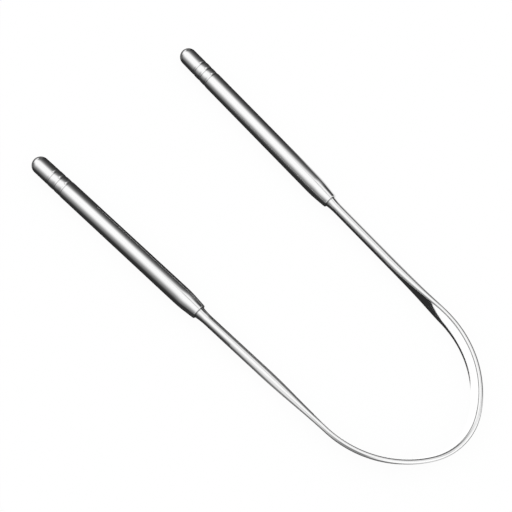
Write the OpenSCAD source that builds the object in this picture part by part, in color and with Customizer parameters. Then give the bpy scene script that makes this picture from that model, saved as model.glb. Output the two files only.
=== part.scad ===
// Two-handled tongue scraper. One steel rod is bent into a U and rolled flat round the arch,
// where its edge does the scraping. A hollow round handle is swaged onto each end of the rod
// and closed by a domed, grooved end plug.
// The arms lie flat, the arch points along +Y, and the origin is under the middle.

/* [Loop] */
// Length from the domed handle ends to the outside of the arch
overall_length = 152.4; // [140:0.2:165]
// Spacing of the arms' centre lines where the arch begins
arch_width = 51.2; // [47:0.2:56]
// Angle at which each arm spreads towards its handle end
arm_splay = 2.6; // [0:0.1:4]
// Diameter of the round rod that the loop is made from
rod_diameter = 3.2; // [2.8:0.1:3.6]
// Bend radius of each shoulder of the arch, on the rod's middle line
shoulder_radius = 32; // [28:0.5:36]
// Angle that each shoulder turns before the tighter crown takes over
shoulder_angle = 58; // [45:1:62]

/* [Scraping strip] */
// Thickness that the rod is rolled down to round the arch
strip_thickness = 1.5; // [1.1:0.05:1.7]
// Lean of the strip, which brings its lower edge inwards
strip_lean = 15; // [0:1:20]
// Length over which the round rod flattens into the strip
flare_length = 24; // [16:1:28]

/* [Handle tubes] */
// Length of each handle from its domed end to the end of its nose
handle_length = 71.5; // [64:0.5:80]
// Outside diameter of the handle tube
handle_diameter = 6; // [5.4:0.1:7]
// Wall thickness of the handle tube
handle_wall = 0.7; // [0.5:0.05:1]
// Length of the nose that is swaged down onto the rod
nose_length = 6.4; // [5:0.2:9]
// Half angle of the swaged nose
nose_angle = 5.5; // [3:0.5:7]
// Radius that blends the tube into its nose
nose_blend = 14; // [8:1:20]
// Rounding of the nose's front edge
nose_edge = 0.2; // [0.1:0.05:0.3]
// Length of the nose's throat, which grips the rod
throat_length = 2.6; // [2:0.1:4]
// Length of the rod's end inside the handle
tang_length = 14; // [10:1:20]
// Chamfer on the rod's end
tang_chamfer = 0.3; // [0.1:0.1:0.6]

/* [Joint fillet] */
// Diameter of the brazed fillet where it meets the nose
fillet_diameter = 4.2; // [3.8:0.1:4.6]
// Length that the brazed fillet runs out along the rod
fillet_length = 2.6; // [1.5:0.1:4]

/* [End plugs] */
// Diameter of the plug's head at its grooves
plug_diameter = 5.88; // [5.3:0.02:6.9]
// Diameter of the domed end
dome_diameter = 5.72; // [5:0.02:6.6]
// Distance from the domed end to the first groove
first_groove = 8.5; // [7:0.1:10]
// Spacing of the grooves
groove_pitch = 2.8; // [2.4:0.1:3.2]
// Number of grooves, of which the last hides the joint with the tube
groove_count = 3; // [2:1:4]
// Radius of the round-nosed tool that cuts each groove
groove_radius = 0.5; // [0.3:0.05:0.7]
// Depth of each groove
groove_depth = 0.16; // [0.1:0.02:0.26]
// Height by which each land between the grooves is crowned
land_crown = 0.04; // [0.02:0.01:0.08]
// Length of the plug's spigot, which is pressed into the tube
spigot_length = 8; // [5:0.5:12]
// Chamfer on the spigot's leading edge
spigot_chamfer = 0.4; // [0.2:0.1:0.8]

/* [Hidden] */
$fn = 96;

// Facets round the rod, and steps along each stretch of it
sides = 30;
fillet_steps = 5;
flare_steps = 16;
shoulder_steps = 12;
crown_steps = 14;
// Points along each small arc of the handle's profile
arc_steps = 6;

rod_radius = rod_diameter / 2;
handle_radius = handle_diameter / 2;
bore_radius = handle_radius - handle_wall;
plug_radius = plug_diameter / 2;
dome_radius = dome_diameter / 2;
seam = first_groove + (groove_count - 1) * groove_pitch;

// Distance from the middle of a flattened section to the centre of each rounded edge.
// Rolling keeps the rod's sectional area, so the section widens as it thins.
function edge_offset(thickness) = PI / 8 * (rod_diameter * rod_diameter / thickness - thickness);

strip_offset = edge_offset(strip_thickness);
strip_reach_out = strip_offset * sin(strip_lean) + strip_thickness / 2;
strip_reach_down = strip_offset * cos(strip_lean) + strip_thickness / 2;
axis_height = max(strip_reach_down, handle_radius);

// Plan of the loop's middle line: straight arm, shoulder arc, crown arc
crown_start = arm_splay + shoulder_angle;
crown_radius = (arch_width / 2 + shoulder_radius * (cos(crown_start) - cos(arm_splay)))
             / cos(crown_start);
crown_top = overall_length / 2 - strip_reach_out;
arch_start = crown_top - shoulder_radius * (sin(crown_start) - sin(arm_splay))
           - crown_radius * (1 - sin(crown_start));
shoulder_centre = [arch_width / 2 - shoulder_radius * cos(arm_splay),
                   arch_start - shoulder_radius * sin(arm_splay)];
crown_centre = [0, crown_top - crown_radius];

// Each arm's own frame starts at its domed end
tip_y = -overall_length / 2 + dome_radius * (1 - cos(arm_splay));
arm_length = (arch_start - tip_y) / cos(arm_splay);
tip_x = arch_width / 2 + arm_length * sin(arm_splay);

// Right arm: +Z of the children's frame runs from the domed end towards the arch
module on_right_arm() {
    translate([tip_x, tip_y, axis_height])
        rotate([0, 0, arm_splay]) rotate([-90, 0, 0]) children();
}

module on_left_arm() {
    mirror([1, 0, 0]) on_right_arm() children();
}

// The loop is one loft through stations along its middle line. A station is a place in plan,
// the direction that its section's outer side faces, the radius of the section's two rounded
// edges, and the distance of their centres from the middle, which is 0 where the rod is round.

// Smooth step from 0 to 1, level at both ends
function ease(share) = share * share * (3 - 2 * share);

// Direction in plan of a given angle
function heading(angle) = [cos(angle), sin(angle)];

// Station on the straight right arm, at a distance from the domed end
function arm_station(along, radius, offset = 0) =
    [[tip_x, tip_y] + along * heading(90 + arm_splay), arm_splay, radius, offset];

// Station of full strip on an arc of the arch
function arch_station(centre, radius, angle) =
    [centre + radius * heading(angle), angle, strip_thickness / 2, strip_offset];

// Concave fillet of braze between the handle's nose and the rod
fillet_rise = fillet_diameter / 2 - rod_radius;
fillet_hollow = (fillet_length * fillet_length + fillet_rise * fillet_rise) / (2 * fillet_rise);
function fillet_radius(along) =
    rod_radius + fillet_hollow
    - sqrt(fillet_hollow * fillet_hollow - (fillet_length - along) * (fillet_length - along));

// Thickness of the rod at a share of the way along its flattening length
function flare_thickness(share) =
    rod_diameter + (strip_thickness - rod_diameter) * ease(share);

tang_start = handle_length - tang_length;
tang_stations = [
    arm_station(tang_start, rod_radius - tang_chamfer),
    arm_station(tang_start + tang_chamfer, rod_radius),
    arm_station(handle_length, rod_radius)
];
fillet_stations = [
    for (i = [0 : fillet_steps])
        let (along = fillet_length * i / fillet_steps)
        arm_station(handle_length + along, fillet_radius(along))
];
flare_stations = [
    for (i = [0 : flare_steps - 1])
        let (share = i / flare_steps, thickness = flare_thickness(share))
        arm_station(arm_length - flare_length * (1 - share), thickness / 2,
                    edge_offset(thickness))
];
shoulder_stations = [
    for (i = [0 : shoulder_steps - 1])
        arch_station(shoulder_centre, shoulder_radius,
                     arm_splay + shoulder_angle * i / shoulder_steps)
];
crown_stations = [
    for (i = [0 : crown_steps])
        arch_station(crown_centre, crown_radius,
                     crown_start + (180 - 2 * crown_start) * i / crown_steps)
];
right_stations = concat(tang_stations, fillet_stations, flare_stations, shoulder_stations);
left_stations = [
    for (i = [len(right_stations) - 1 : -1 : 0])
        let (s = right_stations[i])
        [[-s[0].x, s[0].y], 180 - s[1], s[2], s[3]]
];
stations = concat(right_stations, crown_stations, left_stations);

// Ring of points round one station. The sides are set out by half steps, so that the strip's
// flats lie exactly at its thickness.
function ring(station) = [
    for (i = [0 : sides - 1])
        let (a = (i + 0.5) * 360 / sides,
             across = station[2] * cos(a) / cos(180 / sides),
             up = station[2] * sin(a) + sign(sin(a)) * station[3],
             place = station[0]
                   + (across * cos(strip_lean) + up * sin(strip_lean)) * heading(station[1]))
        [place.x, place.y, axis_height + up * cos(strip_lean) - across * sin(strip_lean)]
];

module scraping_loop() {
    last_ring = (len(stations) - 1) * sides;
    skin = [
        for (j = [0 : len(stations) - 2], i = [0 : sides - 1])
            let (a = j * sides + i, b = j * sides + (i + 1) % sides)
            each [[a, a + sides, b + sides], [a, b + sides, b]]
    ];
    start_cap = [for (i = [0 : sides - 1]) i];
    end_cap = [for (i = [sides - 1 : -1 : 0]) last_ring + i];
    color([0.8, 0.81, 0.82])
        polyhedron([for (s = stations) each ring(s)], concat(skin, [start_cap, end_cap]),
                   convexity = 6);
}

// Points of an arc in a profile, from one angle to another
function arc(centre, radius, from, to) = [
    for (i = [0 : arc_steps])
        let (a = from + (to - from) * i / arc_steps)
        centre + radius * [cos(a), sin(a)]
];

module groove_cut(at, wall_radius) {
    translate([wall_radius + groove_radius - groove_depth, at]) circle(groove_radius);
}

// Outside of the handle tube: straight wall, blend, swaged nose, rounded front edge
module tube_outside() {
    blend_start = handle_length - nose_length;
    blend = arc([handle_radius - nose_blend, blend_start], nose_blend, 0, nose_angle);
    blend_end = blend[arc_steps];
    edge_y = handle_length - nose_edge;
    edge_x = blend_end.x - (edge_y - blend_end.y) * tan(nose_angle)
           - nose_edge / cos(nose_angle);
    polygon(concat(
        [[0, seam], [handle_radius, seam]],
        blend,
        arc([edge_x, edge_y], nose_edge, nose_angle, 90),
        [[0, handle_length]]));
}

// Bore of the handle tube, which closes to the rod's size in the nose
module tube_bore() {
    throat = handle_length - throat_length;
    polygon([
        [0, seam], [bore_radius, seam],
        [bore_radius, handle_length - nose_length],
        [rod_radius, throat], [rod_radius, handle_length], [0, handle_length]]);
}

module handle_tube() {
    color([0.72, 0.73, 0.75]) rotate_extrude() difference() {
        tube_outside();
        tube_bore();
        groove_cut(seam, handle_radius);
    }
}

module right_handle_tube() {
    on_right_arm() handle_tube();
}

module left_handle_tube() {
    on_left_arm() handle_tube();
}

// Crowned land between the groove at the given place and the next one
module plug_land(at) {
    half = groove_pitch / 2;
    bulge = (half * half + land_crown * land_crown) / (2 * land_crown);
    intersection() {
        translate([0, at]) square([plug_radius, groove_pitch]);
        translate([plug_radius - bulge, at + half]) circle(bulge);
    }
}

// Head of the plug: dome, long tapered land, then the lands between the grooves
module plug_head() {
    intersection() {
        translate([0, dome_radius]) circle(dome_radius);
        square([dome_radius, 2 * dome_radius]);
    }
    polygon([[0, dome_radius], [dome_radius, dome_radius],
             [plug_radius - land_crown, first_groove], [0, first_groove]]);
    for (i = [0 : groove_count - 2]) plug_land(first_groove + i * groove_pitch);
}

module plug_spigot() {
    polygon([
        [0, seam], [bore_radius, seam],
        [bore_radius, seam + spigot_length - spigot_chamfer],
        [bore_radius - spigot_chamfer, seam + spigot_length], [0, seam + spigot_length]]);
}

module end_plug() {
    color([0.78, 0.78, 0.79]) rotate_extrude() {
        difference() {
            plug_head();
            for (i = [0 : groove_count - 1])
                groove_cut(first_groove + i * groove_pitch, plug_radius);
        }
        plug_spigot();
    }
}

module right_end_plug() {
    on_right_arm() end_plug();
}

module left_end_plug() {
    on_left_arm() end_plug();
}

scraping_loop();
right_handle_tube();
left_handle_tube();
right_end_plug();
left_end_plug();
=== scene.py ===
"""Looks of a two-handled tongue scraper: a flattened steel loop in two swaged, plugged handles.

Each piece is a surface worked out with numpy from the sizes of the CAD source, and stands for
the CAD node of the same place. The sizes are in millimetres, and the finished meshes in metres.
"""

import logging
import math
from abc import ABC, abstractmethod
from dataclasses import dataclass, field
from enum import Enum
from typing import Any, ClassVar

import bpy
import numpy as np
from mathutils import Matrix, Vector


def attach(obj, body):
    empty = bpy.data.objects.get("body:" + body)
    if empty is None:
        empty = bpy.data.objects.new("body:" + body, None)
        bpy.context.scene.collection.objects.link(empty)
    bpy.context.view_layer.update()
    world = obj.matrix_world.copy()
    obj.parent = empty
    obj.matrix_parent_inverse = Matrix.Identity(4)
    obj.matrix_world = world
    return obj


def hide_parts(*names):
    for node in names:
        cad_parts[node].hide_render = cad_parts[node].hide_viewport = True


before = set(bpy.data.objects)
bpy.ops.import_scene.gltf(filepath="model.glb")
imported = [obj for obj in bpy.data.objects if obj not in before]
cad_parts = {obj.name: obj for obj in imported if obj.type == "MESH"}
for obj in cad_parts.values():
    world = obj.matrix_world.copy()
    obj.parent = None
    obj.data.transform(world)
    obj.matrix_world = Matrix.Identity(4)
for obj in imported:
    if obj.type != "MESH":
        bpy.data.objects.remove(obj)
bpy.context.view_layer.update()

MM = 0.001
FULL_TURN = 2.0 * math.pi
# Far less than any size here, so that a row of steps stops short of its end
HAIR = 1e-6
# Angle between neighbouring faces from which an edge is a real corner
CORNER = math.radians(28.0)
WHITE = (1.0, 1.0, 1.0, 1.0)
# Brightness of the tent past the arch and of the cards, where plain white is 1
BACKDROP = 1.2

log = logging.getLogger("tongue_scraper")


def smooth_step(share: np.ndarray) -> np.ndarray:
    """Rises from 0 to 1 and is level at both ends: share squared times (3 less twice share)."""
    return share * share * (3.0 - 2.0 * share)


def heading(angle: np.ndarray) -> np.ndarray:
    """Direction in plan of an angle in radians: (its cosine, its sine)."""
    return np.stack([np.cos(angle), np.sin(angle)], axis=-1)


def arc_points(centre: tuple[float, float], radius: float, start: float, end: float,
               steps: int) -> np.ndarray:
    """Points of an arc in a profile: the centre plus the radius in each direction.

    Args:
        centre: Centre as (distance from the axis, distance along it).
        radius: Radius of the arc.
        start: Direction of the first point, in degrees from straight outwards.
        end: Direction of the last point.
        steps: Number of steps from one to the other.

    Returns:
        An array of steps + 1 points.
    """
    turn = np.radians(np.linspace(start, end, steps + 1))
    return np.asarray(centre) + radius * heading(turn)


class Side(Enum):
    """The two arms of the loop, by the sign of their X."""

    RIGHT = 1
    LEFT = -1

    @property
    def word(self) -> str:
        """The side's name as it stands in the names of nodes."""
        return self.name.lower()


class Lay(Enum):
    """Which way the polishing lines of a piece run."""

    ROUND = "round"
    LENGTHWISE = "lengthwise"


@dataclass(frozen=True)
class Shell:
    """A closed surface before it becomes a mesh.

    Attributes:
        points: Points in the row frame, in millimetres.
        faces: Arrays of faces, each with one number of corners.
        local: Each point in its piece's own frame, as (across, along, up).
        residue: How much painted shade darkens each point, from 0 to 1.
    """

    points: np.ndarray
    faces: list[np.ndarray]
    local: np.ndarray
    residue: np.ndarray


def ring_quads(rings: int, spokes: int, closed: bool) -> np.ndarray:
    """Quads between rings of points, wound so that they face away from the rings' middle.

    Args:
        rings: Number of rings.
        spokes: Points in each ring.
        closed: Whether the last ring joins the first.

    Returns:
        An array of quads.
    """
    spans = rings if closed else rings - 1
    ring = np.arange(spans)[:, None] * spokes
    after = (np.arange(spans)[:, None] + 1) % rings * spokes
    spoke = np.arange(spokes)[None, :]
    beside = (spoke + 1) % spokes
    quads = np.stack([ring + spoke, after + spoke, after + beside, ring + beside], axis=-1)
    return quads.reshape(-1, 4)


@dataclass(frozen=True)
class LoopPlan:
    """Sizes of the loop that the handles share, and what follows from them.

    The middle line is a straight arm, a wide shoulder arc and a tighter crown arc on each side.

    Attributes:
        overall_length: From the domed ends to the outside of the crown.
        arch_width: Between the middle lines of the two arms where the arch begins.
        arm_splay: How far each arm turns outwards towards its domed end, in degrees.
        rod_diameter: Diameter of the rod.
        shoulder_radius: Radius of the shoulder arcs' middle line.
        shoulder_angle: Turn of each shoulder arc, in degrees.
        strip_thickness: Thickness of the rod where it is rolled flat.
        strip_lean: How far the strip leans outwards, in degrees.
        flare_length: Length over which the rod turns into the strip.
        handle_length: From a handle's domed end to its nose.
        handle_diameter: Diameter of the handles.
        dome_diameter: Diameter of the domed ends.
    """

    overall_length: float = 152.4
    arch_width: float = 51.2
    arm_splay: float = 2.6
    rod_diameter: float = 3.2
    shoulder_radius: float = 32.0
    shoulder_angle: float = 58.0
    strip_thickness: float = 1.5
    strip_lean: float = 15.0
    flare_length: float = 24.0
    handle_length: float = 71.5
    handle_diameter: float = 6.0
    dome_diameter: float = 5.72

    def edge_offset(self, thickness: np.ndarray | float) -> np.ndarray | float:
        """Distance from the middle of a rolled section to the centre of each rounded edge.

        It is a quarter of pi times half of (rod diameter squared over thickness, less
        thickness), which keeps the area of the rod's section.
        """
        return math.pi / 8.0 * (self.rod_diameter**2 / thickness - thickness)

    @property
    def strip_offset(self) -> float:
        """Offset of the rounded edges where the rod is a full strip."""
        return float(self.edge_offset(self.strip_thickness))

    @property
    def axis_height(self) -> float:
        """Height of the middle line, for which the lower of strip and handle rests at 0."""
        reach = self.strip_offset * math.cos(math.radians(self.strip_lean))
        return max(reach + self.strip_thickness / 2.0, self.handle_diameter / 2.0)

    @property
    def crown_start(self) -> float:
        """Direction, in degrees, in which the section faces where the crown arc begins."""
        return self.arm_splay + self.shoulder_angle

    @property
    def crown_radius(self) -> float:
        """Radius of the crown arc, from the width that the shoulder arcs leave."""
        start, splay = math.radians(self.crown_start), math.radians(self.arm_splay)
        left = self.arch_width / 2.0 + self.shoulder_radius * (math.cos(start) - math.cos(splay))
        return left / math.cos(start)

    @property
    def crown_centre(self) -> tuple[float, float]:
        """Centre of the crown arc in plan."""
        reach = self.strip_offset * math.sin(math.radians(self.strip_lean))
        top = self.overall_length / 2.0 - reach - self.strip_thickness / 2.0
        return (0.0, top - self.crown_radius)

    @property
    def shoulder_centre(self) -> tuple[float, float]:
        """Centre of the right shoulder arc, on the line where both arcs face the same way."""
        gap = self.crown_radius - self.shoulder_radius
        start = math.radians(self.crown_start)
        return (self.crown_centre[0] + gap * math.cos(start),
                self.crown_centre[1] + gap * math.sin(start))

    @property
    def crown_place(self) -> float:
        """Length of the middle line from the start of the arch to the middle of the crown."""
        crown = math.radians(90.0 - self.crown_start)
        return self.shoulder_radius * math.radians(self.shoulder_angle) + self.crown_radius * crown

    def middle_line(self, places: np.ndarray) -> tuple[np.ndarray, np.ndarray]:
        """Points of the right half's middle line in plan, and the way that each one faces.

        On an arc of radius r the line faces (place / r) radians further than where it starts.

        Args:
            places: Lengths along the line from the start of the arch, negative on the arm.

        Returns:
            The points and the facings in radians.
        """
        start, splay = math.radians(self.crown_start), math.radians(self.arm_splay)
        shoulder = self.shoulder_radius * (start - splay)
        facing = splay + np.minimum(np.maximum(places, 0.0), shoulder) / self.shoulder_radius
        facing = facing + np.maximum(places - shoulder, 0.0) / self.crown_radius
        on_shoulder = (places < shoulder)[:, None]
        centre = np.where(on_shoulder, self.shoulder_centre, self.crown_centre)
        radius = np.where(on_shoulder, self.shoulder_radius, self.crown_radius)
        on_arm = np.minimum(places, 0.0)[:, None] * np.array([-math.sin(splay), math.cos(splay)])
        return centre + radius * heading(facing) + on_arm, facing

    @property
    def arm_length(self) -> float:
        """Length of the straight arm from the domed end to the shoulder arc."""
        splay = math.radians(self.arm_splay)
        arch_start = self.shoulder_centre[1] + self.shoulder_radius * math.sin(splay)
        return (arch_start - self.tip[1]) / math.cos(splay)

    @property
    def tip(self) -> tuple[float, float]:
        """Place in plan of the right arm's domed end."""
        splay = math.radians(self.arm_splay)
        y = -self.overall_length / 2.0 + self.dome_diameter / 2.0 * (1.0 - math.cos(splay))
        arch_start = self.shoulder_centre[1] + self.shoulder_radius * math.sin(splay)
        x = self.arch_width / 2.0 + (arch_start - y) * math.tan(splay)
        return (x, y)


@dataclass(frozen=True)
class ArmFrame:
    """Frame of one straight arm: out across it, along it towards the arch, and up.

    Attributes:
        plan: The loop's sizes.
        side: The arm.
    """

    plan: LoopPlan
    side: Side

    @property
    def axes(self) -> np.ndarray:
        """The frame's out, along and up directions, as rows."""
        splay = math.radians(self.plan.arm_splay) * self.side.value
        return np.array([
            [math.cos(splay), math.sin(splay), 0.0],
            [-math.sin(splay), math.cos(splay), 0.0],
            [0.0, 0.0, 1.0],
        ])

    def place(self, local: np.ndarray) -> np.ndarray:
        """Points in the row frame: the domed end plus out, along and up times the axes.

        Args:
            local: Points as (out, along, up).

        Returns:
            The same points in the row frame.
        """
        tip_x, tip_y = self.plan.tip
        start = np.array([self.side.value * tip_x, tip_y, self.plan.axis_height])
        return start + local @ self.axes


@dataclass(frozen=True)
class TurnedProfile:
    """Half outline of a turned piece.

    Attributes:
        outline: Points as (distance from the axis, distance along it).
        residue: How much painted shade lies at each point, from 0 to 1.
        closed: Whether the outline is a loop, as on a tube, or runs from pole to pole.
    """

    outline: np.ndarray
    residue: np.ndarray
    closed: bool

    def turn(self, arm: ArmFrame, spokes: int) -> Shell:
        """Turns the outline about the arm's axis.

        A point is its outline's radius times (cosine, sine) of the turn, at its place along.

        Args:
            arm: The arm whose axis it is turned about.
            spokes: Points in each ring.

        Returns:
            A closed shell, with a point and a fan of triangles at each pole.
        """
        rings = self.outline if self.closed else self.outline[1:-1]
        darkened = self.residue if self.closed else self.residue[1:-1]
        angle = np.arange(spokes) * (FULL_TURN / spokes)
        radius, along = rings[:, :1], rings[:, 1:]
        grid = np.broadcast_arrays(radius * np.cos(angle), along, radius * np.sin(angle))
        local = np.stack(grid, axis=-1).reshape(-1, 3)
        residue = np.repeat(darkened, spokes)
        faces = [ring_quads(len(rings), spokes, self.closed)]
        if not self.closed:
            first, last = len(local), len(local) + 1
            poles = np.array([[0.0, self.outline[0, 1], 0.0], [0.0, self.outline[-1, 1], 0.0]])
            local = np.concatenate([local, poles])
            residue = np.concatenate([residue, [0.0, 0.0]])
            spoke = np.arange(spokes)
            beside = (spoke + 1) % spokes
            end = (len(rings) - 1) * spokes
            faces += [
                np.stack([np.full(spokes, first), spoke, beside], axis=-1),
                np.stack([np.full(spokes, last), end + beside, end + spoke], axis=-1),
            ]
        return Shell(arm.place(local), faces, local, residue)


class Graph:
    """A node tree that is filled by expressions on its sockets."""

    def __init__(self, tree: bpy.types.NodeTree) -> None:
        """Empties the tree.

        Args:
            tree: The material's or world's node tree.
        """
        self.tree = tree
        tree.nodes.clear()

    def node(self, kind: str, settings: dict[str, Any] | None = None,
             inputs: dict[str | int, Any] | None = None, output: str | int = 0) -> "Value":
        """Adds any node.

        Args:
            kind: The node's type.
            settings: Its settings, set first. "stops" are a ramp's (place, grey) pairs.
            inputs: What its sockets hold, by name or number: a number, a colour or a Value.
            output: The output that is wanted.

        Returns:
            The chosen output.
        """
        made = self.tree.nodes.new(kind)
        for name, setting in (settings or {}).items():
            if name == "stops":
                self._set_stops(made.color_ramp, setting)
            else:
                setattr(made, name, setting)
        for key, value in (inputs or {}).items():
            if isinstance(value, Value):
                self.tree.links.new(value.socket, made.inputs[key])
            else:
                made.inputs[key].default_value = value
        return Value(self, made.outputs[output] if made.outputs else None)

    @staticmethod
    def _set_stops(ramp: bpy.types.ColorRamp, stops: list[tuple[float, float]]) -> None:
        """Gives a ramp its (place, grey) stops."""
        while len(ramp.elements) < len(stops):
            ramp.elements.new(1.0)
        for element, (place, grey) in zip(ramp.elements, stops):
            element.position = place
            element.color = (grey, grey, grey, 1.0)

    def math(self, operation: str, *terms: "Value | float") -> "Value":
        """A Math node on up to three numbers."""
        return self.node("ShaderNodeMath", {"operation": operation}, dict(enumerate(terms)))

    def attribute(self, name: str, output: str) -> "Value":
        """An attribute of the piece's own mesh."""
        return self.node("ShaderNodeAttribute", {"attribute_name": name}, output=output)


class Value:
    """One output socket, with the arithmetic of shader maths."""

    def __init__(self, graph: Graph, socket: bpy.types.NodeSocket | None) -> None:
        """Wraps a socket.

        Args:
            graph: The graph that it belongs to.
            socket: The output socket.
        """
        self.graph = graph
        self.socket = socket

    def __add__(self, other: "Value | float") -> "Value":
        """Sum."""
        return self.graph.math("ADD", self, other)

    __radd__ = __add__

    def __sub__(self, other: "Value | float") -> "Value":
        """Difference."""
        return self.graph.math("SUBTRACT", self, other)

    def __rsub__(self, other: float) -> "Value":
        """Difference from a number."""
        return self.graph.math("SUBTRACT", other, self)

    def __mul__(self, other: "Value | float") -> "Value":
        """Product."""
        return self.graph.math("MULTIPLY", self, other)

    __rmul__ = __mul__

    def __truediv__(self, other: "Value | float") -> "Value":
        """Quotient."""
        return self.graph.math("DIVIDE", self, other)

    def __abs__(self) -> "Value":
        """Distance from 0."""
        return self.graph.math("ABSOLUTE", self)

    def at_least(self, other: "Value | float") -> "Value":
        """The larger of this and another."""
        return self.graph.math("MAXIMUM", self, other)

    def step(self, low: float, high: float) -> "Value":
        """Smooth step from 0 at low to 1 at high."""
        return self.graph.node(
            "ShaderNodeMapRange", {"interpolation_type": "SMOOTHSTEP"},
            {"Value": self, "From Min": low, "From Max": high})

    def ramp(self, stops: tuple[tuple[float, float], ...]) -> "Value":
        """A number that runs evenly from stop to stop as this value rises.

        Args:
            stops: (value, number) pairs in rising order of value, with positive numbers.

        Returns:
            The number.
        """
        low, span = stops[0][0], stops[-1][0] - stops[0][0]
        most = max(number for _, number in stops)
        shares = [((at - low) / span, number / most) for at, number in stops]
        return most * self.graph.node("ShaderNodeValToRGB", {"stops": shares},
                                      {0: (self - low) / span})

    def dot(self, direction: tuple[float, float, float]) -> "Value":
        """Dot product of this vector with a direction."""
        return self.graph.node(
            "ShaderNodeVectorMath", {"operation": "DOT_PRODUCT"}, {0: self, 1: direction},
            output="Value")

    def scaled(self, factors: tuple[float, float, float]) -> "Value":
        """This vector with each part multiplied by its own factor."""
        return self.graph.node(
            "ShaderNodeVectorMath", {"operation": "MULTIPLY"}, {0: self, 1: factors})

    def noise(self, detail: float, roughness: float = 0.5) -> "Value":
        """Noise of one cycle per unit of this vector, from 0 to 1 about a half."""
        return self.graph.node(
            "ShaderNodeTexNoise", inputs={"Vector": self, "Scale": 1.0, "Detail": detail,
                                          "Roughness": roughness}, output=0)


def new_material(name: str) -> tuple[bpy.types.Material, Graph]:
    """Makes an empty material, and the graph that fills it."""
    made = bpy.data.materials.new(name)
    made.use_nodes = True
    return made, Graph(made.node_tree)


@dataclass(frozen=True)
class SteelFinish:
    """Bright stainless steel, polished to fine lines that all run one way.

    Attributes:
        name: Name of the material.
        lay: Which way the polishing lines run.
        grey: Reflected share of light.
        roughness: Mean roughness.
        lines_per_mm: How many polishing lines there are across one millimetre.
        line_relief: Height of the lines, in metres.
        line_haze: How much the lines change the roughness.
        handling_haze: How much the faint marks of handling change the roughness.
        handling_tone: How much they change the reflected share.
        residue_grey: Reflected share of light where shade is painted into the steel.
        residue_roughness: How much rougher the steel is there.
        stretch_per_mm: How many times a line changes along one millimetre of its length.
        marks_per_mm: How many marks there are across one millimetre, each way.
    """

    name: str
    lay: Lay
    grey: float = 0.84
    roughness: float = 0.085
    lines_per_mm: float = 9.0
    line_relief: float = 2.0e-7
    line_haze: float = 0.03
    handling_haze: float = 0.04
    handling_tone: float = 0.05
    residue_grey: float = 0.36
    residue_roughness: float = 0.06
    stretch_per_mm: float = 0.12
    marks_per_mm: tuple[float, float, float] = (0.35, 0.22, 0.35)

    def material(self) -> bpy.types.Material:
        """Builds the material.

        The lines are noise that is stretched along the lay, on the attribute "local". They and
        broad soft marks change the roughness, and the lines also raise the surface. The
        attribute "residue" mixes in darker and rougher steel: painted shade in corners
        and grooves.

        Returns:
            The material.
        """
        made, graph = new_material(self.name)
        local = graph.attribute("local", "Vector")
        # Painted shade: darker, rougher steel where shade falls in the nose corners and grooves
        residue = graph.attribute("residue", "Fac")
        fine, coarse = self.lines_per_mm, self.stretch_per_mm
        stretch = (coarse, fine, coarse) if self.lay is Lay.ROUND else (fine, coarse, fine)
        lines = local.scaled(stretch).noise(detail=3.0, roughness=0.6)
        marks = local.scaled(self.marks_per_mm).noise(detail=2.0)
        tone = 1.0 - self.handling_tone * (marks - 0.5)
        # Sockets 6 and 7 of a Mix node are its colours, and output 2 is their mixture
        tint = graph.node(
            "ShaderNodeMix", {"data_type": "RGBA", "blend_type": "MIX"},
            {0: residue, 6: (self.grey,) * 3 + (1.0,), 7: (self.residue_grey,) * 3 + (1.0,)},
            output=2)
        shade = graph.node(
            "ShaderNodeVectorMath", {"operation": "SCALE"}, {0: tint, "Scale": tone})
        rough = (self.roughness + self.line_haze * (lines - 0.5)
                 + self.handling_haze * (marks - 0.5) + self.residue_roughness * residue)
        relief = graph.node(
            "ShaderNodeBump", inputs={"Strength": 1.0, "Distance": self.line_relief,
                                      "Height": lines})
        steel = graph.node(
            "ShaderNodeBsdfPrincipled", inputs={"Base Color": shade, "Metallic": 1.0,
                                                "Roughness": rough, "Normal": relief})
        graph.node("ShaderNodeOutputMaterial", inputs={"Surface": steel})
        return made


def new_object(name: str, points: np.ndarray, faces: list[list[int]],
               attributes: dict[str, np.ndarray],
               material: bpy.types.Material) -> bpy.types.Object:
    """Makes an object at the origin, with its place in its mesh.

    Args:
        name: Name of the object and of its mesh.
        points: Its points, in millimetres.
        faces: The points of each face.
        attributes: Its attributes by name, each a number or a vector for every point.
        material: Its material.

    Returns:
        The object.
    """
    mesh = bpy.data.meshes.new(name)
    mesh.from_pydata((points * MM).tolist(), [], faces)
    for key, values in attributes.items():
        kind, part = ("FLOAT", "value") if values.ndim == 1 else ("FLOAT_VECTOR", "vector")
        mesh.attributes.new(key, kind, "POINT").data.foreach_set(
            part, values.astype(np.float32).ravel())
    mesh.materials.append(material)
    made = bpy.data.objects.new(name, mesh)
    bpy.context.scene.collection.objects.link(made)
    return made


def make_piece(name: str, node: str, shell: Shell,
               material: bpy.types.Material) -> bpy.types.Object:
    """Turns a shell into a smooth-shaded piece that stands for a CAD node.

    Args:
        name: Name of the piece.
        node: CAD node that it replaces.
        shell: The surface.
        material: Its finish.

    Returns:
        The piece, riding on the root body.
    """
    faces = [face for block in shell.faces for face in block.tolist()]
    piece = new_object(name, shell.points, faces,
                       {"local": shell.local, "residue": shell.residue}, material)
    mesh = piece.data
    mesh.polygons.foreach_set("use_smooth", np.ones(len(faces), dtype=bool))
    mesh.set_sharp_from_angle(angle=CORNER)
    mesh.validate()
    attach(piece, "root")
    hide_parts(node)
    log.info("%s: %d points, %d faces", name, len(mesh.vertices), len(mesh.polygons))
    return piece


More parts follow.
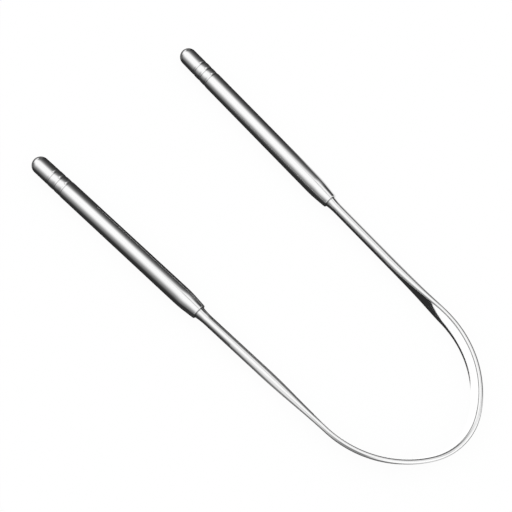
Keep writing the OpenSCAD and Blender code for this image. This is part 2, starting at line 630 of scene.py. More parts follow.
@dataclass(frozen=True)
class ScrapingLoop:
    """The rod that is bent into a U and rolled flat round the arch.

    It is one skin through stations along the middle line. A station is a place in plan, the
    direction that the section's outer side faces, the radius of the section's two rounded
    edges, and the distance of their centres from the middle, which is 0 where the rod is round.
    A narrow ring of painted shade darkens the corner between each nose and its fillet.

    Attributes:
        plan: The loop's sizes.
        tang_length: Length of rod inside each nose.
        tang_chamfer: Chamfer on its end.
        tang_step: Length over which the skin steps out from the tang to the fillet.
        fillet_diameter: Diameter of the braze fillet at the nose.
        fillet_length: Its length along the rod.
        corner_shade_end: How far from the corner the ring of painted shade reaches.
        corner_shade_fade: Width over which it fades out.
        spokes: Points round a section.
        fillet_rings: Stations along each fillet.
        neck_rings: Stations along each round neck.
        flare_rings: Stations along each flare.
        shoulder_rings: Stations along each shoulder arc.
        crown_rings: Steps between stations along the crown arc.
    """

    plan: LoopPlan
    tang_length: float = 14.0
    tang_chamfer: float = 0.3
    tang_step: float = 0.001
    fillet_diameter: float = 3.9
    fillet_length: float = 4.0
    corner_shade_end: float = 0.38
    corner_shade_fade: float = 0.16
    spokes: int = 128
    fillet_rings: int = 40
    neck_rings: int = 6
    flare_rings: int = 56
    shoulder_rings: int = 84
    crown_rings: int = 108

    def _fillet_radius(self, along: np.ndarray) -> np.ndarray:
        """Radius of the concave braze fillet: a circle that ends level with the rod."""
        rod = self.plan.rod_diameter / 2.0
        rise = self.fillet_diameter / 2.0 - rod
        concave = (self.fillet_length**2 + rise**2) / (2.0 * rise)
        return rod + concave - np.sqrt(concave**2 - (self.fillet_length - along) ** 2)

    def _arm_stations(self) -> np.ndarray:
        """Right arm's stations, as rows of (x, y, facing, edge radius, offset, painted shade)."""
        plan = self.plan
        rod, nose = plan.rod_diameter / 2.0, plan.handle_length
        start = nose - self.tang_length
        tang = np.array([start, start + self.tang_chamfer, nose - self.tang_step])
        fillet = np.linspace(0.0, self.fillet_length, self.fillet_rings, endpoint=False)
        flare_from = plan.arm_length - plan.flare_length
        neck = np.linspace(nose + self.fillet_length, flare_from, self.neck_rings,
                           endpoint=False)
        share = np.linspace(0.0, 1.0, self.flare_rings, endpoint=False)
        thickness = plan.rod_diameter + (
            plan.strip_thickness - plan.rod_diameter) * smooth_step(share)
        along = np.concatenate([tang, nose + fillet, neck, flare_from + plan.flare_length * share])
        radius = np.concatenate([
            [rod - self.tang_chamfer, rod, rod], self._fillet_radius(fillet),
            np.full(len(neck), rod), thickness / 2.0])
        offset = np.zeros(len(along))
        offset[-len(share):] = plan.edge_offset(thickness)
        splay = math.radians(plan.arm_splay)
        place = np.asarray(plan.tip) + along[:, None] * heading(np.array(splay + math.pi / 2.0))
        # Painted shade: a narrow dark ring in the corner at the nose, which fades out to each side
        corner_shade = np.clip((self.corner_shade_end - np.abs(along - nose)) / self.corner_shade_fade, 0.0, 1.0)
        return np.column_stack([place, np.full(len(along), splay), radius, offset, corner_shade])

    def _arc_stations(self, centre: tuple[float, float], radius: float,
                      facing: np.ndarray) -> np.ndarray:
        """Stations of full strip on an arc: the centre plus the radius in each direction.

        Args:
            centre: Centre of the arc in plan.
            radius: Radius of the middle line.
            facing: Directions of the stations, in degrees.

        Returns:
            Rows of (x, y, facing, edge radius, offset, painted shade), without painted shade.
        """
        angle = np.radians(facing)
        place = np.asarray(centre) + radius * heading(angle)
        edge = np.full(len(angle), self.plan.strip_thickness / 2.0)
        return np.column_stack([place, angle, edge, np.full(len(angle), self.plan.strip_offset),
                                np.zeros(len(angle))])

    def _stations(self) -> np.ndarray:
        """All stations, from the right tang over the crown to the left tang.

        The left half is the right half mirrored: x changes its sign, and the facing becomes
        half a turn less itself.
        """
        plan = self.plan
        shoulder = self._arc_stations(
            plan.shoulder_centre, plan.shoulder_radius,
            np.linspace(plan.arm_splay, plan.crown_start, self.shoulder_rings, endpoint=False))
        crown = self._arc_stations(
            plan.crown_centre, plan.crown_radius,
            np.linspace(plan.crown_start, 180.0 - plan.crown_start, self.crown_rings + 1))
        right = np.concatenate([self._arm_stations(), shoulder])
        left = right[::-1].copy()
        left[:, 0] *= -1.0
        left[:, 2] = math.pi - left[:, 2]
        return np.concatenate([right, crown, left])

    def _sections(self, radius: np.ndarray, offset: np.ndarray) -> np.ndarray:
        """Outlines of the rolled sections, with points at equal steps round each.

        A section is two half circles joined by two flats. Going round the upper half from the
        middle of the outer flat, the turn is the distance past the flat over the radius, held
        between 0 and half a turn. Across is the radius times its cosine. Up is the radius times
        its sine, plus the flat passed so far, less what has been passed of the inner flat.

        Args:
            radius: Radius of the rounded edges, one for each station.
            offset: Distance of their centres from the middle, one for each station.

        Returns:
            (across, up) for each station and spoke.
        """
        edge, flat = radius[:, None], offset[:, None]
        girth = FULL_TURN * edge + 4.0 * flat
        share = (np.arange(self.spokes) + 0.5) / self.spokes
        upper = share < 0.5
        passed = girth * np.where(upper, share, 1.0 - share)
        turn = np.clip((passed - flat) / edge, 0.0, math.pi)
        inner = np.clip(passed - flat - math.pi * edge, 0.0, None)
        up = edge * np.sin(turn) + np.minimum(passed, flat) - inner
        return np.stack([edge * np.cos(turn), np.where(upper, up, -up)], axis=-1)

    def shell(self) -> Shell:
        """The loop's skin.

        A point is its station's place, plus the way that the section faces times (across times
        the cosine of the lean plus up times its sine). Its height is that of the middle line
        plus up times the cosine less across times the sine.

        Returns:
            The closed shell, with a flat cap on each tang.
        """
        stations = self._stations()
        place, facing = stations[:, :2], stations[:, 2]
        radius, offset, corner_shade = stations[:, 3:].T
        section = self._sections(radius, offset)
        across, up = section[..., 0], section[..., 1]
        lean = math.radians(self.plan.strip_lean)
        outwards = across * math.cos(lean) + up * math.sin(lean)
        plan_view = place[:, None] + outwards[..., None] * heading(facing)[:, None]
        height = self.plan.axis_height + up * math.cos(lean) - across * math.sin(lean)
        points = np.concatenate([plan_view, height[..., None]], axis=-1)
        steps = np.linalg.norm(np.diff(place, axis=0), axis=1)
        run = np.concatenate([[0.0], np.cumsum(steps)])
        along = np.broadcast_to(run[:, None], across.shape)
        local = np.stack([across, along, up], axis=-1)
        last = (len(stations) - 1) * self.spokes
        ring = np.arange(self.spokes)
        faces = [ring_quads(len(stations), self.spokes, False),
                 ring[None, :], last + ring[None, ::-1]]
        return Shell(points.reshape(-1, 3), faces, local.reshape(-1, 3),
                     np.repeat(corner_shade, self.spokes))

    def build(self) -> bpy.types.Object:
        """Builds and dresses the loop."""
        # The painted shade in the corners at the noses is darker and rougher on the loop
        finish = SteelFinish("polished_loop_steel", Lay.LENGTHWISE, residue_grey=0.3,
                             residue_roughness=0.2)
        return make_piece("polished_scraping_loop", "scraping_loop",
                          self.shell(), finish.material())


@dataclass(frozen=True)
class Groove:
    """The shallow round-nosed cut that rings the handle's end.

    Its edge towards the arch holds a thin line of painted shade.

    Attributes:
        first: Distance from the domed end to the first groove.
        pitch: Spacing of the grooves.
        count: Number of grooves. The last one hides the joint of plug and tube.
        radius: Radius of the tool.
        depth: Depth of the cut.
        shift: How far the cut's middle lies past the groove's place, towards the arch.
        edge_break: Width over which the cut's edges are rounded off.
        residue_place: Middle of the painted shade's line, past the groove's place.
        residue_width: Half the width of the line.
        residue_rise: How steeply the line darkens towards its middle, where it is held at 1.
        fine_reach: How far to each side of a groove the outline is finely divided.
        fine_step: Length of a fine step.
    """

    first: float = 8.5
    pitch: float = 2.8
    count: int = 3
    radius: float = 1.5
    depth: float = 0.09
    shift: float = 0.1
    edge_break: float = 0.012
    residue_place: float = 0.52
    residue_width: float = 0.16
    residue_rise: float = 1.6
    fine_reach: float = 0.7
    fine_step: float = 0.02

    @property
    def places(self) -> np.ndarray:
        """Distance of each groove from the domed end."""
        return self.first + self.pitch * np.arange(self.count)

    @property
    def seam(self) -> float:
        """Distance of the joint between plug and tube from the domed end."""
        return float(self.places[-1])

    def cut(self, along: np.ndarray, wall: np.ndarray, surface: float
            ) -> tuple[np.ndarray, np.ndarray]:
        """Cuts the grooves into a wall.

        The tool's radius at each place is its centre's less the root of (tool radius squared
        less the distance from the groove squared). The result is the lower of wall and tool,
        blended over the edge break as a smooth minimum.

        Args:
            along: Distances from the domed end.
            wall: Radius of the uncut wall at each.
            surface: Radius from which the depth is taken.

        Returns:
            The cut radius, and how much painted shade lies at each point from 0 to 1.
        """
        past = along[:, None] - self.places
        past = np.take_along_axis(past, np.abs(past).argmin(axis=1)[:, None], axis=1)[:, 0]
        away = np.abs(past - self.shift)
        inside = np.maximum(self.radius**2 - away**2, 0.0)
        tool = surface + self.radius - self.depth - np.sqrt(inside)
        tool = np.where(away < self.radius, tool, surface + self.radius)
        width = self.edge_break
        cut = -width * np.logaddexp(-wall / width, -tool / width)
        # Painted shade: a thin dark line along the groove's edge towards the arch
        share = 1.0 - np.abs(past - self.residue_place) / self.residue_width
        return cut, np.clip(self.residue_rise * share, 0.0, 1.0)


@dataclass(frozen=True)
class TurnedPiece(ABC):
    """A piece of one handle, turned about the arm's axis.

    Attributes:
        part: Name of the CAD node, without its side.
        slot: The record's material slot.
        plan: The loop's sizes.
        side: The arm that the piece is on.
        groove: The grooves of the handle's end.
        mouth_break: How far the edge at the joint of tube and plug is broken.
        spokes: Points round a ring.
    """

    part: ClassVar[str]
    slot: ClassVar[str]

    plan: LoopPlan
    side: Side
    groove: Groove = field(default_factory=Groove)
    mouth_break: float = 0.05
    spokes: int = 128

    @abstractmethod
    def profile(self) -> TurnedProfile:
        """Half outline of the piece."""

    def build(self) -> bpy.types.Object:
        """Turns the profile into the piece and dresses it."""
        finish = SteelFinish(f"polished_{self.side.word}_{self.slot}", Lay.ROUND)
        shell = self.profile().turn(ArmFrame(self.plan, self.side), self.spokes)
        node = f"{self.side.word}_{self.part}"
        return make_piece(f"polished_{node}", node, shell, finish.material())


@dataclass(frozen=True)
class HandleTube(TurnedPiece):
    """A hollow handle whose nose is swaged down onto the rod.

    Attributes:
        wall: Thickness of the wall.
        nose_length: Length of the nose with its blend.
        nose_angle: How steeply the nose narrows, in degrees.
        nose_blend: Radius of the blend from handle to nose.
        nose_edge: Radius of the nose's front edge.
        throat_length: Length of the throat that grips the rod.
        groove_rings: Points of the outline beside the last groove.
        straight_rings: Points along the rest of the straight wall, with both of its ends.
    """

    part = "handle_tube"
    slot = "tube_steel"

    wall: float = 0.7
    nose_length: float = 8.1
    nose_angle: float = 5.5
    nose_blend: float = 50.0
    nose_edge: float = 0.2
    throat_length: float = 2.6
    groove_rings: int = 40
    straight_rings: int = 12

    def profile(self) -> TurnedProfile:
        """Outline of the tube's wall: outside, nose, front face, throat, bore.

        Returns:
            The closed outline.
        """
        radius = self.plan.handle_diameter / 2.0
        length, seam = self.plan.handle_length, self.groove.seam
        bore, rod = radius - self.wall, self.plan.rod_diameter / 2.0
        near = seam + np.linspace(0.0, self.groove.fine_reach, self.groove_rings)
        far = np.linspace(near[-1], length - self.nose_length, self.straight_rings)[1:-1]
        straight = np.concatenate([near, far])
        cut, residue = self.groove.cut(straight, np.full(len(straight), radius), radius)
        cut[0] -= self.mouth_break
        blend = arc_points((radius - self.nose_blend, length - self.nose_length),
                           self.nose_blend, 0.0, self.nose_angle, steps=12)
        slope = math.radians(self.nose_angle)
        edge_along = length - self.nose_edge
        edge_out = (blend[-1, 0] - (edge_along - blend[-1, 1]) * math.tan(slope)
                    - self.nose_edge / math.cos(slope))
        edge = arc_points((edge_out, edge_along), self.nose_edge, self.nose_angle, 90.0,
                          steps=8)
        inside = np.array([
            [rod, length], [rod, length - self.throat_length],
            [bore, length - self.nose_length], [bore, seam]])
        outline = np.concatenate([np.column_stack([cut, straight]), blend, edge, inside])
        residue = np.concatenate([residue, np.zeros(len(outline) - len(residue))])
        return TurnedProfile(outline, residue, closed=True)


@dataclass(frozen=True)
class EndPlug(TurnedPiece):
    """The domed plug that closes a handle, with its grooves and crowned lands.

    Attributes:
        diameter: Diameter at the middle of the crowned lands.
        land_crown: How far they fall towards the grooves.
        bore_radius: Radius of the spigot, which fits the tube's bore.
        spigot_length: Its length.
        spigot_chamfer: Chamfer on its end.
        dome_rings: Steps round the dome.
        long_land_rings: Points along the land beside the dome, with both of its ends.
        short_land_rings: The same along each land between two grooves.
    """

    part = "end_plug"
    slot = "plug_steel"

    diameter: float = 5.88
    land_crown: float = 0.04
    bore_radius: float = 2.3
    spigot_length: float = 8.0
    spigot_chamfer: float = 0.4
    dome_rings: int = 26
    long_land_rings: int = 14
    short_land_rings: int = 12

    def _wall(self, along: np.ndarray) -> np.ndarray:
        """Radius before the grooves are cut: the long tapered land, then crowned lands.

        The long land runs straight from the dome to the first groove. Each short land is an
        arc: the plug's radius less the arc's drop away from the land's middle.

        Args:
            along: Distances from the domed end.

        Returns:
            The radius at each.
        """
        radius, dome = self.diameter / 2.0, self.plan.dome_diameter / 2.0
        shoulder = radius - self.land_crown
        share = (along - dome) / (self.groove.first - dome)
        taper = dome + (shoulder - dome) * share
        half = self.groove.pitch / 2.0
        bulge = (half**2 + self.land_crown**2) / (2.0 * self.land_crown)
        away = np.mod(along - self.groove.first, self.groove.pitch) - half
        crowned = radius - bulge + np.sqrt(bulge**2 - away**2)
        return np.where(along < self.groove.first, taper, crowned)

    def profile(self) -> TurnedProfile:
        """Outline of the plug from the dome's pole to the middle of the spigot's end.

        Returns:
            The open outline.
        """
        dome, seam = self.plan.dome_diameter / 2.0, self.groove.seam
        reach, pitch = self.groove.fine_reach, self.groove.pitch
        cap = arc_points((0.0, dome), dome, -90.0, 0.0, self.dome_rings)[:-1]
        cap[0, 0] = 0.0
        spans = [np.linspace(dome, self.groove.first - reach, self.long_land_rings)[:-1]]
        for place in self.groove.places:
            end = min(place + reach, seam)
            spans.append(np.arange(place - reach, end - HAIR, self.groove.fine_step))
            if end < seam:
                spans.append(np.linspace(end, place + pitch - reach,
                                         self.short_land_rings)[:-1])
        along = np.concatenate([*spans, [seam]])
        cut, residue = self.groove.cut(along, self._wall(along), self.diameter / 2.0)
        cut[-1] -= self.mouth_break
        end = seam + self.spigot_length
        bore, bevel = self.bore_radius, self.spigot_chamfer
        spigot = np.array([[bore, seam], [bore, end - bevel], [bore - bevel, end], [0.0, end]])
        outline = np.concatenate([cap, np.column_stack([cut, along]), spigot])
        residue = np.concatenate([np.zeros(len(cap)), residue, np.zeros(len(spigot))])
        return TurnedProfile(outline, residue, closed=False)


@dataclass(frozen=True)
class PhotoCamera:
    """The camera at the photograph's viewing angle.

    Attributes:
        tilt: Turn about the camera's X, in degrees.
        roll: Turn about its Y.
        swing: Turn of the object about its own upright.
        slide: Place of the object in the camera's frame, in millimetres.
        distance: Distance from the camera to the middle of the object.
        focal: Focal length, in pixels of the frame.
        aim_height: Height of the point that the turns are about.
        frame_width: Width of that frame, in pixels.
        sensor: Width of the sensor, in millimetres.
        clip: Nearest and farthest distances that it sees, in metres.
    """

    tilt: float = -25.07
    roll: float = 4.86
    swing: float = -135.97
    slide: tuple[float, float, float] = (6.448, -2.92, 0.048)
    distance: float = 341.5
    focal: float = 1127.7
    aim_height: float = 3.0
    frame_width: int = 512
    sensor: float = 36.0
    clip: tuple[float, float] = (0.01, 20.0)

    @property
    def turn(self) -> Matrix:
        """Rotation from the row frame to the camera's frame."""
        angles = ((self.tilt, "X"), (self.roll, "Y"), (self.swing, "Z"))
        x, y, z = (Matrix.Rotation(math.radians(angle), 3, axis) for angle, axis in angles)
        return x @ y @ z

    def build(self) -> bpy.types.Object:
        """Makes the camera and sets it as the scene's."""
        data = bpy.data.cameras.new("photo_camera")
        data.sensor_width = self.sensor
        data.lens = self.focal / self.frame_width * self.sensor
        data.clip_start, data.clip_end = self.clip
        back = self.turn.transposed()
        place = back @ (Vector((0.0, 0.0, self.distance)) - Vector(self.slide))
        place.z += self.aim_height
        camera = bpy.data.objects.new("photo_camera", data)
        camera.matrix_world = Matrix.Translation(place * MM) @ back.to_4x4()
        bpy.context.scene.collection.objects.link(camera)
        bpy.context.scene.camera = camera
        return camera


def stage_piece(name: str, corners: np.ndarray, faces: list[list[int]],
                attributes: dict[str, np.ndarray],
                material: bpy.types.Material) -> bpy.types.Object:
    """Makes a piece of the stage, which isn't part of the object.

    Args:
        name: Name of the piece.
        corners: Its corners, in millimetres.
        faces: The corners of each face.
        attributes: Its attributes by name, each a number for every corner.
        material: Its material.

    Returns:
        The piece.
    """
    piece = new_object(name, corners, faces, attributes, material)
    log.info("%s: %d points, %d faces, stage", name, len(corners), len(faces))
    return piece


def glowing_card(name: str, corners: np.ndarray, faces: list[list[int]],
                 glow: np.ndarray) -> bpy.types.Object:
    """Makes a white card that glows and that only the metal reflects.

    Args:
        name: Name of the piece.
        corners: Its corners, in millimetres.
        faces: The corners of each face.
        glow: Share of the backdrop's brightness at each corner.

    Returns:
        The card.
    """
    made, graph = new_material(f"{name}_white")
    shine = graph.node("ShaderNodeEmission", inputs={
        "Color": graph.attribute("glow", "Fac"), "Strength": BACKDROP})
    graph.node("ShaderNodeOutputMaterial", inputs={"Surface": shine})
    card = stage_piece(name, corners, faces, {"glow": glow}, made)
    card.visible_camera = card.visible_diffuse = card.visible_shadow = False
    card.visible_transmission = card.visible_volume_scatter = False
    return card


@dataclass(frozen=True)
class Floor:
    """The white floor that the object lies on.

    Attributes:
        size: Length of its sides.
        shown: Share of plain white in what the camera sees of it.
    """

    size: float = 6000.0
    shown: float = 0.94

    def material(self) -> bpy.types.Material:
        """White paper, which the camera sees as plain white with a trace of shadow."""
        made, graph = new_material("studio_floor_white")
        camera_ray = graph.node("ShaderNodeLightPath", output="Is Camera Ray")
        paper = graph.node("ShaderNodeBsdfDiffuse", inputs={"Color": WHITE})
        glow = graph.node("ShaderNodeEmission", inputs={"Strength": 1.0})
        mixed = graph.node("ShaderNodeMixShader", inputs={
            0: self.shown * camera_ray, 1: paper, 2: glow})
        graph.node("ShaderNodeOutputMaterial", inputs={"Surface": mixed})
        return made

    def build(self) -> bpy.types.Object:
        """Makes the floor as a square. The metal reflects the tent in its place."""
        corners = self.size / 2.0 * np.array([
            [-1.0, -1.0, 0.0], [1.0, -1.0, 0.0], [1.0, 1.0, 0.0], [-1.0, 1.0, 0.0]])
        floor = stage_piece("studio_floor", corners, [[0, 1, 2, 3]], {}, self.material())
        floor.visible_glossy = False
        return floor


@dataclass(frozen=True)
class ArchCard:
    """The white card that lies under the arch.

    Attributes:
        plan: The loop's sizes, which its outer edge follows.
        height: How far it lies above the floor.
        gaps: Distance from the loop's middle line to the outer edge, as (place along the
            middle line from the start of the arch, distance).
        inner_edge: Corners of its inner edge in plan, from right to left.
        stations: Corners along each half of its outer edge.
    """

    plan: LoopPlan
    height: float = 0.01
    gaps: tuple[tuple[float, float], ...] = (
        (-6.8, 7.9), (-5.3, 6.5), (-3.2, 5.25), (-0.3, 4.1), (3.0, 3.7), (7.0, 3.45),
        (12.5, 3.2), (16.5, 3.05), (21.0, 2.6), (24.0, 1.0), (32.0, 0.9))
    inner_edge: tuple[tuple[float, float], ...] = (
        (2.0, 41.0), (-0.5, 50.0), (-1.5, 60.0), (-2.0, 66.0), (-4.5, 69.5), (-7.0, 68.5),
        (-9.5, 66.5), (-11.0, 60.0), (-11.5, 55.0), (-13.3, 48.0), (-13.8, 41.0))
    stations: int = 96

    def build(self) -> bpy.types.Object:
        """Makes the card: its outer edge is the middle line less the gap, and that mirrored."""
        places = np.linspace(self.gaps[0][0], self.plan.crown_place, self.stations)
        gap = np.interp(places, *zip(*self.gaps))
        middle, facing = self.plan.middle_line(places)
        edge = middle - gap[:, None] * heading(facing)
        outline = np.concatenate([
            edge, edge[-2::-1] * np.array([-1.0, 1.0]), np.array(self.inner_edge)[::-1]])
        corners = np.column_stack([outline, np.full(len(outline), self.height)])
        return glowing_card("studio_card", corners, [list(range(len(corners)))],
                            np.ones(len(corners)))


@dataclass(frozen=True)
class Apron:
    """The glow of the floor outside one half of the loop.

    Attributes:
        plan: The loop's sizes, which it fans out from.
        side: Which half.
        height: How far it lies above the floor.
        right_glow: Share of the backdrop's brightness on the right, as (place along the middle
            line from the start of the arch, share).
        left_glow: The same on the left.
        reach: Distances from the middle line to its inner and outer edges.
        stations: Rows of corners along it.
    """

    plan: LoopPlan
    side: Side
    height: float = 0.01
    right_glow: tuple[tuple[float, float], ...] = (
        (-60.0, 0.025), (-46.0, 0.04), (-41.0, 0.05), (-36.0, 0.07), (-31.0, 0.1),
        (-26.0, 0.14), (-19.0, 0.24), (-13.0, 0.2), (-8.0, 0.25), (-5.0, 0.28), (0.0, 0.3),
        (3.6, 0.3), (8.6, 0.28), (13.6, 0.22), (18.7, 0.16), (23.7, 0.2), (28.7, 0.42),
        (32.6, 0.55), (35.6, 0.52), (42.0, 0.4))
    left_glow: tuple[tuple[float, float], ...] = (
        (-80.0, 0.05), (-72.0, 0.14), (-66.0, 0.5), (-56.0, 0.8), (-30.0, 0.6), (-16.0, 0.38),
        (0.0, 0.55), (8.0, 0.62), (22.0, 0.58), (30.0, 0.16), (35.0, 0.16), (42.0, 0.4))
    reach: tuple[float, float] = (1.0, 150.0)
    stations: int = 161

    def build(self) -> bpy.types.Object:
        """Makes the apron.

        Each row is two corners: the middle line plus each reach times the outward direction.

        Returns:
            The apron.
        """
        stops = self.right_glow if self.side is Side.RIGHT else self.left_glow
        places = np.linspace(stops[0][0], self.plan.crown_place, self.stations)
        glow = np.interp(places, *zip(*stops))
        middle, facing = self.plan.middle_line(places)
        reach = np.array(self.reach)[None, :, None]
        rows = middle[:, None] + reach * heading(facing)[:, None]
        rows[..., 0] *= self.side.value
        corners = rows.reshape(-1, 2)
        corners = np.column_stack([corners, np.full(len(corners), self.height)])
        faces = 2 * np.arange(len(places) - 1)[:, None] + np.array([0, 1, 3, 2])
        return glowing_card(f"studio_{self.side.word}_apron", corners, faces.tolist(),
                            np.repeat(glow, 2))


@dataclass(frozen=True)
class LowBoard:
    """A low card that stands along the right half of the loop.

    Attributes:
        plan: The loop's sizes, which it follows.
        gap: Distance from the loop's middle line, outwards.
        heights: Heights of its rows of corners.
        glow: Share of the backdrop's brightness, as (place along the middle line from the
            start of the arch, share at each height).
        stations: Columns of corners along it.
    """

    plan: LoopPlan
    gap: float = 6.0
    heights: tuple[float, ...] = (0.02, 2.4, 3.6, 4.9, 8.1)
    glow: tuple[tuple[float, tuple[float, ...]], ...] = (
        (-38.0, (0.03, 0.1, 0.2, 0.36, 0.65)), (-29.0, (0.05, 0.15, 0.28, 0.48, 0.88)),
        (-18.0, (0.06, 0.25, 0.5, 0.7, 0.92)), (-9.0, (0.06, 0.3, 0.6, 0.8, 0.95)),
        (-3.0, (0.1, 0.34, 0.55, 0.6, 0.65)), (5.0, (0.26, 0.28, 0.3, 0.32, 0.35)))
    stations: int = 49

    def build(self) -> bpy.types.Object:
        """Makes the board.

        Each column of corners is the middle line plus the gap times the outward direction.

        Returns:
            The board.
        """
        stops = [place for place, _ in self.glow]
        shares = np.array([share for _, share in self.glow])
        places = np.linspace(stops[0], stops[-1], self.stations)
        glow = np.column_stack([np.interp(places, stops, row) for row in shares.T])
        middle, facing = self.plan.middle_line(places)
        foot = middle + self.gap * heading(facing)
        rows = len(self.heights)
        corners = np.column_stack([
            np.repeat(foot, rows, axis=0), np.tile(self.heights, len(places))])
        first = rows * np.arange(len(places) - 1)[:, None, None] + np.arange(rows - 1)[:, None]
        faces = (first + np.array([0, 1, rows + 1, rows])).reshape(-1, 4)
        return glowing_card("studio_right_board", corners, faces.tolist(), glow.ravel())


@dataclass(frozen=True)
class LightTent:
    """The soft light tent round the object, made as the world.

    A wide softbox of two cloths hangs over the object, and its light falls off to a dark side
    wall on the left and on the right. The ground is dark in the metal. A ray's way along is the
    part of its direction that leads towards the arch, from -1 to 1, and its way up is the part
    that leads upwards. Its angle is in degrees from overhead, round the line of the arms, and
    negative on the left.

    Attributes:
        softbox: Brightness of the softbox.
        left_edge: The softbox's falloff on the left, as (angle, share).
        left_edge_at_arch: The same for rays that leave square to the arms or towards the arch.
        arch_turn: Ways along between which the one gives way to the other.
        right_edge: The softbox's falloff on the right.
        left_slant: How many degrees lower the left wall starts, as (way along, degrees).
        right_slant: How many degrees higher the right wall starts, as (way along, degrees).
        left_cloth: Share of light that the left cloth loses.
        cloth_start: Angle at which its loss begins.
        seam_angle: Angle at which the two cloths meet.
        seam_widths: Half the widths of the fine line and the broad haze along their seam.
        seam_dimmings: Share of light that each of them loses at its middle.
        seam_turn: Ways along between which the left cloth and the seam come in.
        wall_end: Brightness of the side walls past the domed ends.
        wall_end_turn: Ways along between which it comes in.
        wall_foot: Brightness of the left wall's foot, as (way along, brightness).
        foot_angles: Angles between which the foot comes in.
        past_arch_turn: Ways along between which the backdrop past the arch comes in.
        past_arch_ground: Ways up between which it rises out of the ground.
        far_end: Brightness of the tent straight past the domed ends.
        far_end_turn: Ways along between which it comes in.
        far_end_ground: Ways up between which it rises out of the ground.
    """

    softbox: float = 1.16
    left_edge: tuple[tuple[float, float], ...] = (
        (-94.0, 0.03), (-69.0, 0.045), (-51.0, 0.09), (-40.0, 0.16), (-30.0, 0.26),
        (-22.0, 0.45), (-15.0, 0.66), (-8.0, 0.87), (0.0, 1.0))
    left_edge_at_arch: tuple[tuple[float, float], ...] = (
        (-102.0, 0.05), (-77.0, 0.05), (-64.0, 0.055), (-56.0, 0.1), (-48.0, 0.33),
        (-43.0, 0.7), (-38.0, 0.93), (-31.0, 1.0))
    arch_turn: tuple[float, float] = (-0.18, -0.1)
    right_edge: tuple[tuple[float, float], ...] = (
        (37.0, 1.0), (47.0, 0.93), (57.0, 0.75), (68.0, 0.51), (79.0, 0.31), (93.0, 0.195),
        (102.0, 0.125), (111.0, 0.062), (120.0, 0.034), (132.0, 0.026))
    left_slant: tuple[tuple[float, float], ...] = (
        (-0.47, 3.0), (-0.42, 4.0), (-0.38, 8.0), (-0.34, 9.0), (-0.30, 12.0), (-0.26, 16.5),
        (-0.22, 25.0), (-0.19, 30.0), (-0.16, 30.0), (-0.12, 28.0), (-0.08, 22.0), (0.0, 20.0))
    right_slant: tuple[tuple[float, float], ...] = (
        (-0.47, 1.0), (-0.42, 0.5), (-0.38, 5.0), (-0.34, 7.0), (-0.30, 12.0), (-0.26, 13.5),
        (-0.22, 14.0), (-0.18, 12.0), (-0.14, 9.0), (-0.10, 10.0), (-0.05, 14.0), (0.02, 16.0))
    left_cloth: float = 0.05
    cloth_start: float = -6.0
    seam_angle: float = -15.5
    seam_widths: tuple[float, float] = (3.5, 13.0)
    seam_dimmings: tuple[float, float] = (0.4, 0.22)
    seam_turn: tuple[float, float] = (-0.35, -0.2)
    wall_end: float = 0.14
    wall_end_turn: tuple[float, float] = (-0.5, -0.7)
    wall_foot: tuple[tuple[float, float], ...] = (
        (-0.32, 0.0), (-0.26, 0.05), (-0.23, 0.09), (-0.20, 0.15), (-0.17, 0.09),
        (-0.12, 0.03), (0.0, 0.03))
    foot_angles: tuple[float, float] = (-74.0, -84.0)
    past_arch_turn: tuple[float, float] = (0.42, 0.62)
    past_arch_ground: tuple[float, float] = (-0.4, -0.15)
    far_end: float = 0.95
    far_end_turn: tuple[float, float] = (-0.84, -0.94)
    far_end_ground: tuple[float, float] = (-0.2, 0.1)

    def _softbox(self, angle: Value, along: Value) -> Value:
        """Brightness of the softbox and of the side walls that it falls off to.

        It is the softbox's brightness times the shares of both edges, less what the seam and
        the left cloth take.

        Args:
            angle: The ray's angle.
            along: Its way along.

        Returns:
            The brightness.
        """
        left = (angle + along.ramp(self.left_slant)).ramp(self.left_edge)
        at_arch = angle.ramp(self.left_edge_at_arch)
        left = left + along.step(*self.arch_turn) * (at_arch - left)
        right = (angle + along.ramp(self.right_slant)).ramp(self.right_edge)
        beside_seam = abs(angle - self.seam_angle)
        line, haze = (dimming * beside_seam.step(width, 0.0)
                      for width, dimming in zip(self.seam_widths, self.seam_dimmings))
        on_left = angle.step(self.cloth_start, self.seam_angle)
        dimming = along.step(*self.seam_turn) * (line + haze + self.left_cloth * on_left)
        return self.softbox * left * right * (1.0 - dimming)

    def build(self) -> bpy.types.World:
        """Makes the tent by the direction in which a ray leaves.

        The metal sees the brightest of softbox, wall ends, wall foot and the two ends of the
        tent. Rays from the camera and from plain surfaces meet white.

        Returns:
            The world.
        """
        world = bpy.data.worlds.new("light_tent")
        world.use_nodes = True
        graph = Graph(world.node_tree)
        direction = graph.node("ShaderNodeTexCoord", output="Generated")
        across = direction.dot((1.0, 0.0, 0.0))
        along = direction.dot((0.0, 1.0, 0.0))
        up = direction.dot((0.0, 0.0, 1.0))
        angle = graph.math("ARCTAN2", across, up) * (180.0 / math.pi)
        wall_ends = self.wall_end * along.step(*self.wall_end_turn)
        wall_foot = angle.step(*self.foot_angles) * along.ramp(self.wall_foot)
        past_arch = (BACKDROP * along.step(*self.past_arch_turn)
                     * up.step(*self.past_arch_ground))
        past_ends = (self.far_end * along.step(*self.far_end_turn)
                     * up.step(*self.far_end_ground))
        walls = self._softbox(angle, along).at_least(wall_ends).at_least(wall_foot)
        tent = walls.at_least(past_arch).at_least(past_ends)
        is_glossy = graph.node("ShaderNodeLightPath", output="Is Glossy Ray")
        strength = is_glossy * tent + (1.0 - is_glossy)
        light = graph.node("ShaderNodeBackground", inputs={
            "Color": WHITE, "Strength": strength})
        graph.node("ShaderNodeOutputWorld", inputs={"Surface": light})
        bpy.context.scene.world = world
        log.info("light_tent: %d nodes, world", len(world.node_tree.nodes))
        return world


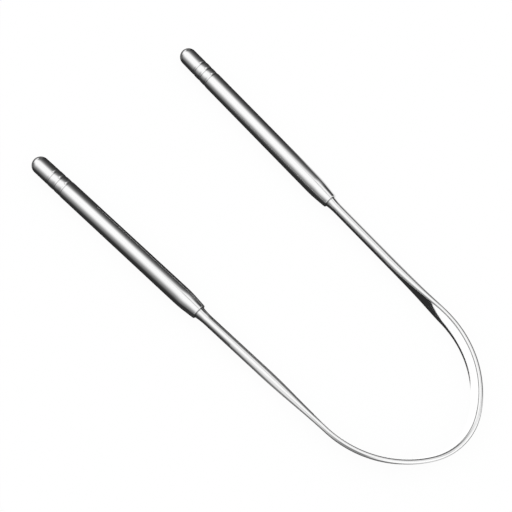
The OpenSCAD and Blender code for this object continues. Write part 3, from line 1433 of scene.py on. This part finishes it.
def main() -> None:
    """Builds the pieces in order, then the camera, the stage and the light."""
    logging.basicConfig(level=logging.INFO, format="%(name)s: %(message)s")
    bpy.context.scene.view_settings.view_transform = "Standard"
    plan = LoopPlan()
    ScrapingLoop(plan).build()
    for side in Side:
        HandleTube(plan, side).build()
        EndPlug(plan, side).build()
    PhotoCamera().build()
    Floor().build()
    ArchCard(plan).build()
    for side in Side:
        Apron(plan, side).build()
    LowBoard(plan).build()
    LightTent().build()


if __name__ == "__main__":
    main()
